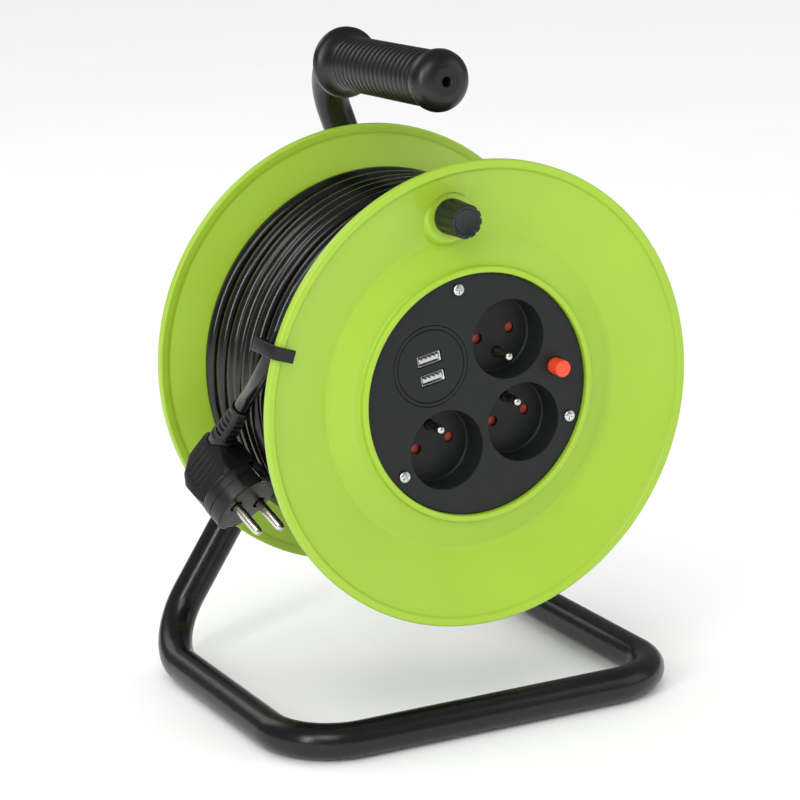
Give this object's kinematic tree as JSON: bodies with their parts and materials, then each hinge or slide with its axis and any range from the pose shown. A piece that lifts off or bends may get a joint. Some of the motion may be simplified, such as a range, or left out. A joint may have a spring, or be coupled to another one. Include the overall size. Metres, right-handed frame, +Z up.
{
  "type": "extension cord reel",
  "caption": "Cord reel with socket panel, USB charger face and crank, whose green drum turns on a free-standing bent tube frame with a ribbed grip.",
  "frame": {"origin": "on the floor, at the centre of the frame footprint", "axes": "+Z up, -Y towards the socket panel, +X to the right as seen from the front; the drum turns about an axis along Y at 172.2 mm"},
  "size_m": [0.2442, 0.193, 0.3413],
  "materials": {
    "frame_black": "gloss black powder coat on steel tube",
    "grip_black": "soft ribbed grip, satin black",
    "black_plastic": "satin black moulding",
    "steel": "zinc-plated or nickel-plated steel",
    "green_plastic": "lime green moulding, satin gloss",
    "white_plastic": "natural white moulding",
    "panel_charcoal": "fine matt texture, charcoal",
    "shutter_red": "red-brown moulding",
    "brass": "stamped strip",
    "board_green": "circuit board",
    "button_orange": "orange-red moulding",
    "cord_rubber": "black flexible cord, satin",
    "plug_black": "black moulded plug, satin"
  },
  "bodies": {
    "frame": {"frame_tube": "frame_black", "grip": "grip_black", "spindle_collar": "black_plastic", "spindle_washer": "steel", "spindle_screw": "steel", "spindle_plug": "black_plastic"},
    "drum": {"housing": "black_plastic", "usb_module": "black_plastic", "breaker_body": "black_plastic", "cable_clip": "black_plastic", "flange_screw_1": "steel", "flange_screw_2": "steel", "flange_screw_3": "steel", "flange_screw_4": "steel", "panel_screw_1": "steel", "panel_screw_2": "steel", "panel_screw_3": "steel", "earth_pin_1": "steel", "earth_pin_2": "steel", "earth_pin_3": "steel", "usb_shell_1": "steel", "usb_shell_2": "steel", "crank_pin": "steel", "plug_pin_1": "steel", "plug_pin_2": "steel", "plug_earth_1": "steel", "plug_earth_2": "steel", "front_flange": "green_plastic", "back_flange": "green_plastic", "drum_core": "green_plastic", "hub_bush_front": "white_plastic", "hub_bush_rear": "white_plastic", "terminal_block": "white_plastic", "usb_tongue_1": "white_plastic", "usb_tongue_2": "white_plastic", "socket_panel": "panel_charcoal", "live_bar": "brass", "neutral_bar": "brass", "earth_bar": "brass", "usb_board": "board_green", "cord_winding": "cord_rubber", "cord_lead": "cord_rubber", "cord_gland": "cord_rubber", "plug_body": "plug_black", "plug_boot": "plug_black"},
    "crank": {"crank_knob": "black_plastic", "crank_cap": "black_plastic"},
    "button": {"reset_button": "button_orange"},
    "shutter_a": {"shutter_1": "shutter_red"},
    "shutter_b": {"shutter_2": "shutter_red"},
    "shutter_c": {"shutter_3": "shutter_red"}
  },
  "joints": [
    {"name": "drum_spin", "type": "hinge", "parent": "frame", "child": "drum", "pos_m": [0, 0, 0.1722], "axis": [0, 1, 0], "continuous": true},
    {"name": "crank_spin", "type": "hinge", "parent": "drum", "child": "crank", "pos_m": [-0.01418, -0.088, 0.2633], "axis": [0, 1, 0], "continuous": true},
    {"name": "reset_push", "type": "slide", "parent": "drum", "child": "button", "axis": [0, 1, 0], "range_m": [0, 0.003], "stiffness_N_per_m": 400},
    {"name": "shutter_turn_a", "type": "hinge", "parent": "drum", "child": "shutter_a", "pos_m": [0.01763, -0.0579, 0.19819], "axis": [0, 1, 0], "range_deg": [0, 40], "stiffness_Nm_per_rad": 0.005},
    {"name": "shutter_turn_b", "type": "hinge", "parent": "drum", "child": "shutter_b", "pos_m": [0.02599, -0.0579, 0.15457], "axis": [0, 1, 0], "range_deg": [0, 40], "stiffness_Nm_per_rad": 0.005},
    {"name": "shutter_turn_c", "type": "hinge", "parent": "drum", "child": "shutter_c", "pos_m": [-0.01763, -0.0579, 0.14621], "axis": [0, 1, 0], "range_deg": [0, 40], "stiffness_Nm_per_rad": 0.005}
  ]
}
